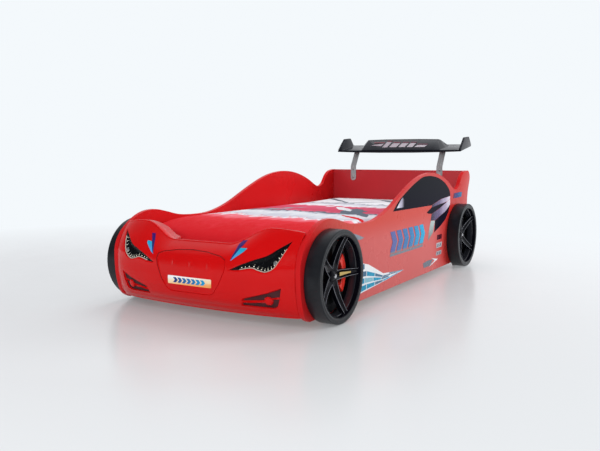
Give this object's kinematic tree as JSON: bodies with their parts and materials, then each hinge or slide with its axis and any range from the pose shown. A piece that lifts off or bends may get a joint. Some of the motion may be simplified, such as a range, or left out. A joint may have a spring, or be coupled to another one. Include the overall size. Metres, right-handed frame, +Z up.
{
  "type": "toddler bed",
  "caption": "Racing-car shaped child's bed with shaped side panels, moulded nose with headlights, four dummy wheels, slatted base, mattress with cover and a rear spoiler on two brackets.",
  "frame": {"origin": "on the floor, under the middle of the bed's overall box", "axes": "+Y from the nose to the headboard, +X towards the side panel on the viewer's right when the nose faces the viewer, +Z up"},
  "size_m": [1.111, 2.3535, 0.795],
  "materials": {
    "red_lacquer": "satin-gloss red lacquer on 22 mm fibreboard",
    "red_moulding": "high-gloss thermoformed sheet",
    "tyre_plastic": "matt blow-moulded black plastic",
    "rim_plastic": "gloss black",
    "wing_plastic": "semi-gloss black",
    "black_plastic": "fine-textured black",
    "slat_wood": "planed, unfinished",
    "satin_steel": "satin silver",
    "headlight_lens": "smoked clear plastic with a row of light dots",
    "plate_print": "printed label, white to orange, blue stripes",
    "caliper_red": "gloss red",
    "mattress_cloth": "knitted ticking",
    "cover_cloth": "printed red, white and grey woven cover",
    "lead_jacket": "smooth black jacket"
  },
  "bodies": {
    "frame": {"brake_caliper_left": "caliper_red", "brake_caliper_right": "caliper_red", "centre_leg_front": "black_plastic", "centre_leg_rear": "black_plastic", "centre_rail": "slat_wood", "corner_bracket_front_left": "satin_steel", "corner_bracket_front_right": "satin_steel", "corner_bracket_rear_left": "satin_steel", "corner_bracket_rear_right": "satin_steel", "foot_front_left": "black_plastic", "foot_front_right": "black_plastic", "foot_rear_left": "black_plastic", "foot_rear_right": "black_plastic", "footboard": "red_lacquer", "front_fascia": "red_moulding", "headboard": "red_lacquer", "headlight_housing_left": "black_plastic", "headlight_housing_right": "black_plastic", "headlight_lead": "lead_jacket", "headlight_lens_left": "headlight_lens", "headlight_lens_right": "headlight_lens", "hub_cap_front_left": "satin_steel", "hub_cap_front_right": "satin_steel", "hub_cap_rear_left": "satin_steel", "hub_cap_rear_right": "satin_steel", "light_control_box": "black_plastic", "number_plate": "plate_print", "rim_front_left": "rim_plastic", "rim_front_right": "rim_plastic", "rim_rear_left": "rim_plastic", "rim_rear_right": "rim_plastic", "side_panel_left": "red_lacquer", "side_panel_right": "red_lacquer", "slat_01": "slat_wood", "slat_02": "slat_wood", "slat_03": "slat_wood", "slat_04": "slat_wood", "slat_05": "slat_wood", "slat_06": "slat_wood", "slat_07": "slat_wood", "slat_08": "slat_wood", "slat_09": "slat_wood", "slat_10": "slat_wood", "slat_rail_left": "slat_wood", "slat_rail_right": "slat_wood", "spoiler_bracket_left": "satin_steel", "spoiler_bracket_right": "satin_steel", "spoiler_wing": "wing_plastic", "tyre_front_left": "tyre_plastic", "tyre_front_right": "tyre_plastic", "tyre_rear_left": "tyre_plastic", "tyre_rear_right": "tyre_plastic", "wheel_disc_front_left": "black_plastic", "wheel_disc_front_right": "black_plastic", "wheel_disc_rear_left": "black_plastic", "wheel_disc_rear_right": "black_plastic"},
    "bedding": {"mattress": "mattress_cloth", "bed_cover": "cover_cloth"},
    "light_rocker": {"rocker_switch": "black_plastic"}
  },
  "joints": [
    {"name": "mattress_lift", "type": "slide", "parent": "frame", "child": "bedding", "axis": [0, 0, 1], "range_m": [0, 0.37]},
    {"name": "light_switch_rock", "type": "hinge", "parent": "frame", "child": "light_rocker", "pos_m": [0.32, 0.98605, 0.27], "axis": [1, 0, 0], "range_deg": [-16, 0]}
  ]
}
